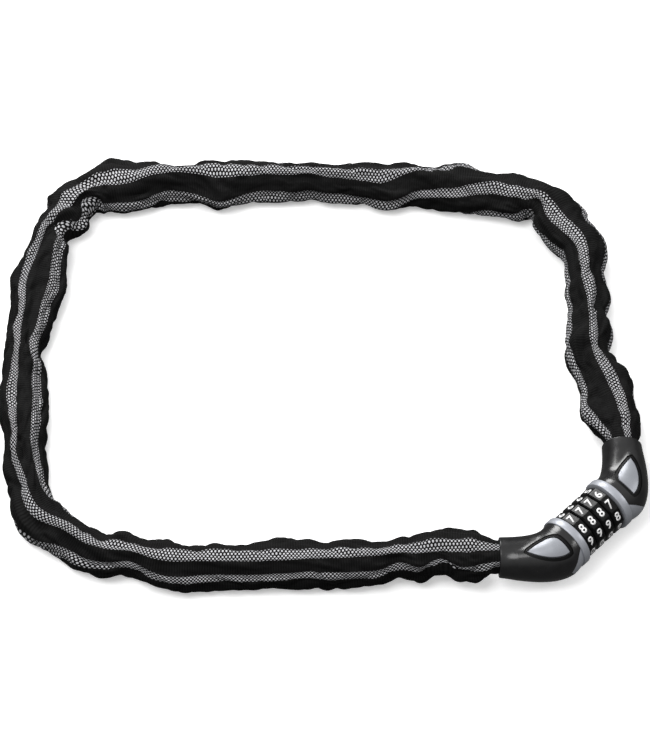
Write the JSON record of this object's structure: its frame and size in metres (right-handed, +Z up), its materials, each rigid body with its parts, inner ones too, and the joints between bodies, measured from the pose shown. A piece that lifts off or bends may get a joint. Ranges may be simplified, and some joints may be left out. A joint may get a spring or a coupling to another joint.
{
  "type": "combination chain lock",
  "caption": "Combination chain lock: dial head with a pull-out plug closes a loop of long-link chain in a black woven sleeve with reflective stripes.",
  "frame": {"origin": "middle of the footprint at ground level", "axes": "+Z up from the ground; +X along the loop's longest side, towards the side that holds the lock head; +Y away from the lock head's corner"},
  "size_m": [0.3072, 0.2484, 0.0258],
  "materials": {
    "silver_casting": "satin",
    "black_cover": "semi-gloss",
    "dial_black": "gloss",
    "ring_brass": "machined",
    "steel": "turned",
    "spring_steel": "satin",
    "chain_steel": "zinc plated",
    "sleeve_fabric": "matte woven"
  },
  "bodies": {
    "lock_body": {"lock_casting": "silver_casting", "lock_cover": "black_cover", "barrel_tube": "steel", "barrel_roll_pin": "steel", "barrel_end_washer": "steel", "spring_washer": "spring_steel", "detent_spring": "spring_steel", "lock_anchor_pin": "steel"},
    "dial_1": {"number_wheel_1": "dial_black", "code_ring_1": "ring_brass"},
    "dial_2": {"number_wheel_2": "dial_black", "code_ring_2": "ring_brass"},
    "dial_3": {"number_wheel_3": "dial_black", "code_ring_3": "ring_brass"},
    "dial_4": {"number_wheel_4": "dial_black", "code_ring_4": "ring_brass"},
    "link_01": {"chain_link_01": "chain_steel"},
    "links_02_03": {"chain_link_02": "chain_steel", "sleeve_01": "sleeve_fabric", "chain_link_03": "chain_steel"},
    "links_04_05": {"chain_link_04": "chain_steel", "sleeve_02": "sleeve_fabric", "chain_link_05": "chain_steel"},
    "links_06_07": {"chain_link_06": "chain_steel", "sleeve_03": "sleeve_fabric", "chain_link_07": "chain_steel"},
    "links_08_09": {"chain_link_08": "chain_steel", "sleeve_04": "sleeve_fabric", "chain_link_09": "chain_steel"},
    "links_10_11": {"chain_link_10": "chain_steel", "sleeve_05": "sleeve_fabric", "chain_link_11": "chain_steel"},
    "links_12_13": {"chain_link_12": "chain_steel", "sleeve_06": "sleeve_fabric", "chain_link_13": "chain_steel"},
    "links_14_15": {"chain_link_14": "chain_steel", "sleeve_07": "sleeve_fabric", "chain_link_15": "chain_steel"},
    "links_16_17": {"chain_link_16": "chain_steel", "sleeve_08": "sleeve_fabric", "chain_link_17": "chain_steel"},
    "links_18_19": {"chain_link_18": "chain_steel", "sleeve_09": "sleeve_fabric", "chain_link_19": "chain_steel"},
    "links_20_21": {"chain_link_20": "chain_steel", "sleeve_10": "sleeve_fabric", "chain_link_21": "chain_steel"},
    "links_22_23": {"chain_link_22": "chain_steel", "sleeve_11": "sleeve_fabric", "chain_link_23": "chain_steel"},
    "links_24_25": {"chain_link_24": "chain_steel", "sleeve_12": "sleeve_fabric", "chain_link_25": "chain_steel"},
    "plug": {"plug_casting": "silver_casting", "plug_cover": "black_cover", "locking_bolt": "steel", "bolt_roll_pin": "steel", "plug_anchor_pin": "steel"}
  },
  "joints": [
    {"name": "dial_1_spin", "type": "hinge", "parent": "lock_body", "child": "dial_1", "pos_m": [0.12338, -0.09168, 0.0129], "axis": [0.7071, 0.7071, 0], "continuous": true},
    {"name": "dial_2_spin", "type": "hinge", "parent": "lock_body", "child": "dial_2", "pos_m": [0.12338, -0.09168, 0.0129], "axis": [0.7071, 0.7071, 0], "continuous": true},
    {"name": "dial_3_spin", "type": "hinge", "parent": "lock_body", "child": "dial_3", "pos_m": [0.12338, -0.09168, 0.0129], "axis": [0.7071, 0.7071, 0], "continuous": true},
    {"name": "dial_4_spin", "type": "hinge", "parent": "lock_body", "child": "dial_4", "pos_m": [0.12338, -0.09168, 0.0129], "axis": [0.7071, 0.7071, 0], "continuous": true},
    {"name": "plug_slide", "type": "slide", "parent": "lock_body", "child": "plug", "axis": [0.7071, 0.7071, 0], "range_m": [0, 0.04]},
    {"name": "chain_01_swing", "type": "hinge", "parent": "lock_body", "child": "link_01", "pos_m": [0.09021, -0.10985, 0.0129], "axis": [0, 0, -1], "range_deg": [-0.05, 2.21]},
    {"name": "chain_02_swing", "type": "hinge", "parent": "link_01", "child": "links_02_03", "pos_m": [0.05965, -0.10926, 0.01132], "axis": [0, 0, -1], "range_deg": [-0.05, 1.83]},
    {"name": "chain_04_swing", "type": "hinge", "parent": "links_02_03", "child": "links_04_05", "pos_m": [-0.00547, -0.11181, 0.00911], "axis": [0, 0, -1], "range_deg": [-0.05, 0.62]},
    {"name": "chain_06_swing", "type": "hinge", "parent": "links_04_05", "child": "links_06_07", "pos_m": [-0.07066, -0.11189, 0.009], "axis": [0, 0, -1], "range_deg": [-0.05, 0.13]},
    {"name": "chain_08_swing", "type": "hinge", "parent": "links_06_07", "child": "links_08_09", "pos_m": [-0.12806, -0.08459, 0.009], "axis": [0, 0, -1], "range_deg": [-0.17, 0.05]},
    {"name": "chain_26_swing", "type": "hinge", "parent": "plug", "child": "links_24_25", "pos_m": [0.14155, -0.0585, 0.0129], "axis": [0, 0, -1], "range_deg": [-1.54, 0.05]},
    {"name": "chain_24_swing", "type": "hinge", "parent": "links_24_25", "child": "links_22_23", "pos_m": [0.1315, 0.00353, 0.0091], "axis": [0, 0, -1], "range_deg": [-4.75, 0.05]},
    {"name": "chain_22_swing", "type": "hinge", "parent": "links_22_23", "child": "links_20_21", "pos_m": [0.12748, 0.06846, 0.009], "axis": [0, 0, -1], "range_deg": [-0.05, 0.38]},
    {"name": "chain_20_swing", "type": "hinge", "parent": "links_20_21", "child": "links_18_19", "pos_m": [0.0792, 0.10642, 0.009], "axis": [0, 0, -1], "range_deg": [-0.05, 1.9]},
    {"name": "chain_18_swing", "type": "hinge", "parent": "links_18_19", "child": "links_16_17", "pos_m": [0.0142, 0.11089, 0.009], "axis": [0, 0, -1], "range_deg": [-0.05, 1.41]},
    {"name": "chain_16_swing", "type": "hinge", "parent": "links_16_17", "child": "links_14_15", "pos_m": [-0.05099, 0.11271, 0.009], "axis": [0, 0, -1], "range_deg": [-0.05, 2.49]},
    {"name": "chain_14_swing", "type": "hinge", "parent": "links_14_15", "child": "links_12_13", "pos_m": [-0.11495, 0.1021, 0.009], "axis": [0, 0, -1], "range_deg": [-0.05, 3.57]},
    {"name": "chain_12_swing", "type": "hinge", "parent": "links_12_13", "child": "links_10_11", "pos_m": [-0.14033, 0.04369, 0.009], "axis": [0, 0, -1], "range_deg": [-0.05, 1.21]}
  ],
  "couplings": [
    {"joint": "chain_01_swing", "follows": "plug_slide", "rad_per_m": 0.9417},
    {"joint": "chain_02_swing", "follows": "plug_slide", "rad_per_m": 0.7782},
    {"joint": "chain_04_swing", "follows": "plug_slide", "rad_per_m": 0.2493},
    {"joint": "chain_06_swing", "follows": "plug_slide", "rad_per_m": 0.0328},
    {"joint": "chain_08_swing", "follows": "plug_slide", "rad_per_m": -0.0508},
    {"joint": "chain_26_swing", "follows": "plug_slide", "rad_per_m": -0.649},
    {"joint": "chain_24_swing", "follows": "plug_slide", "rad_per_m": -2.0507},
    {"joint": "chain_22_swing", "follows": "plug_slide", "rad_per_m": 0.1461},
    {"joint": "chain_20_swing", "follows": "plug_slide", "rad_per_m": 0.8054},
    {"joint": "chain_18_swing", "follows": "plug_slide", "rad_per_m": 0.5932},
    {"joint": "chain_16_swing", "follows": "plug_slide", "rad_per_m": 1.0633},
    {"joint": "chain_14_swing", "follows": "plug_slide", "rad_per_m": 1.5356},
    {"joint": "chain_12_swing", "follows": "plug_slide", "rad_per_m": 0.5072}
  ]
}
